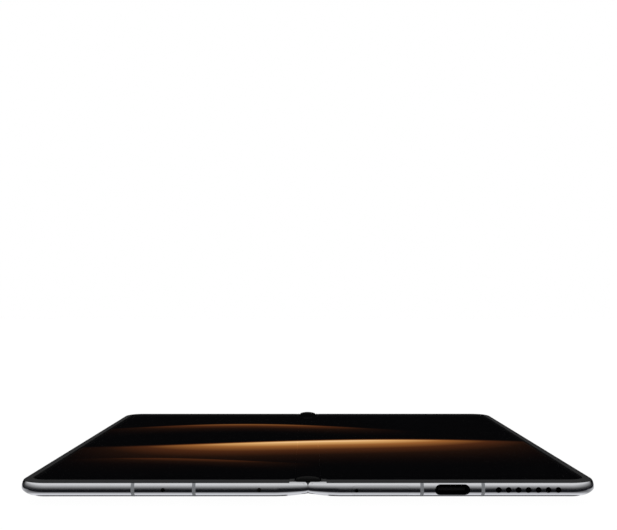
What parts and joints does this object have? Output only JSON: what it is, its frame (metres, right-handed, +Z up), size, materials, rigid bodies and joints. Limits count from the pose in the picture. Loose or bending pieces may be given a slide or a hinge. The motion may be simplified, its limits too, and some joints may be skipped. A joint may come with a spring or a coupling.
{
  "type": "foldable smartphone",
  "caption": "Thin book-style foldable phone, open flat: two metal-framed halves on a geared spine under one bending screen, with a round camera island on the back.",
  "frame": {"origin": "centre of the open phone's footprint, level with the lowest face of the camera island", "axes": "+X across the fold to the half with the charging socket, +Y along the fold away from the socket edge, +Z up out of the screen"},
  "size_m": [0.1457, 0.1566, 0.0069],
  "materials": {
    "polished_frame": "polished anodised",
    "power_pad": "satin ring round a dark glossy finger pad",
    "rim_plastic": "fine matt",
    "hinge_cap_plastic": "smooth, slightly glossy",
    "antenna_plastic": "smooth",
    "screen": "glossy, lit",
    "stainless_sheet": "rolled",
    "hinge_steel": "machined",
    "spine_shell": "satin anodised",
    "pin_steel": "ground",
    "gear_steel": "sintered",
    "screw_steel": "black-coated",
    "flex_film": "copper-coloured film",
    "cover_glass": "polished dark glass",
    "display_panel": "dark panel",
    "seal_foam": "foam tape",
    "rear_glass": "etched dark glass",
    "island_metal": "fine blasted with a bright edge",
    "island_glass": "polished black glass",
    "ring_metal": "turned",
    "lens_glass": "coated",
    "lens_barrel": "black, stepped",
    "flash_plastic": "clear, ribbed",
    "switch_body": "moulded",
    "seal_rubber": "silicone",
    "socket_steel": "drawn",
    "mesh_black": "woven",
    "component_metal": "pressed",
    "battery_wrap": "pouch film",
    "board_green": "solder mask"
  },
  "bodies": {
    "spine": {"spine_carrier": "hinge_steel", "spine_cover": "spine_shell", "spine_screws": "screw_steel", "near_hinge_cap": "hinge_cap_plastic", "far_hinge_cap": "hinge_cap_plastic", "friction_clips": "hinge_steel", "fold_screen": "screen", "fold_flex": "flex_film"},
    "right_half": {"right_frame": "polished_frame", "right_rim": "rim_plastic", "right_antenna_bands": "antenna_plastic", "right_screen": "screen", "right_backing_plate": "stainless_sheet", "right_hinge_pins": "pin_steel", "right_sync_gears": "gear_steel", "right_hinge_arms": "hinge_steel", "right_arm_screws": "screw_steel", "right_flex_tail": "flex_film", "rear_cover": "rear_glass", "rear_cover_seal": "seal_foam", "camera_island": "island_metal", "camera_glass": "island_glass", "lens_rings": "ring_metal", "lens_windows": "lens_glass", "camera_modules": "lens_barrel", "flash_lens": "flash_plastic", "key_switches": "switch_body", "sim_seal": "seal_rubber", "sim_reader": "stainless_sheet", "usb_shell": "socket_steel", "usb_tongue": "switch_body", "speaker_box": "switch_body", "speaker_mesh": "mesh_black", "right_battery": "battery_wrap", "main_board": "board_green", "shield_cans": "stainless_sheet", "lower_board": "board_green", "board_screws": "screw_steel"},
    "left_half": {"left_frame": "polished_frame", "left_rim": "rim_plastic", "left_antenna_bands": "antenna_plastic", "left_screen": "screen", "left_backing_plate": "stainless_sheet", "left_hinge_pins": "pin_steel", "left_sync_gears": "gear_steel", "left_hinge_arms": "hinge_steel", "left_arm_screws": "screw_steel", "left_flex_tail": "flex_film", "cover_display_glass": "cover_glass", "cover_display_panel": "display_panel", "left_cover_seal": "seal_foam", "cover_camera": "lens_barrel", "earpiece": "switch_body", "left_microphones": "component_metal", "vibration_motor": "component_metal", "left_battery": "battery_wrap", "left_board": "board_green"},
    "power_button": {"power_key": "power_pad"},
    "volume_button": {"volume_rocker": "polished_frame"},
    "sim_drawer": {"sim_tray": "polished_frame"}
  },
  "joints": [
    {"name": "right_fold", "type": "hinge", "parent": "spine", "child": "right_half", "pos_m": [0.00108, 0, 0.00515], "axis": [0, -1, 0], "range_deg": [0, 90], "deforming": ["fold_screen", "fold_flex"]},
    {"name": "left_fold", "type": "hinge", "parent": "spine", "child": "left_half", "pos_m": [-0.00108, 0, 0.00515], "axis": [0, 1, 0], "range_deg": [0, 90]},
    {"name": "power_press", "type": "slide", "parent": "right_half", "child": "power_button", "axis": [-1, 0, 0], "range_m": [0, 0.00025], "stiffness_N_per_m": 4000, "springref_m": -0.0001},
    {"name": "volume_rock", "type": "hinge", "parent": "right_half", "child": "volume_button", "pos_m": [0.07115, 0.04, 0.00395], "axis": [0, 0, 1], "range_deg": [-0.9, 0.9], "stiffness_Nm_per_rad": 0.4},
    {"name": "tray_slide", "type": "slide", "parent": "right_half", "child": "sim_drawer", "axis": [0, -1, 0], "range_m": [0, 0.02]}
  ],
  "couplings": [
    {"joint": "left_fold", "follows": "right_fold", "ratio": 1}
  ]
}
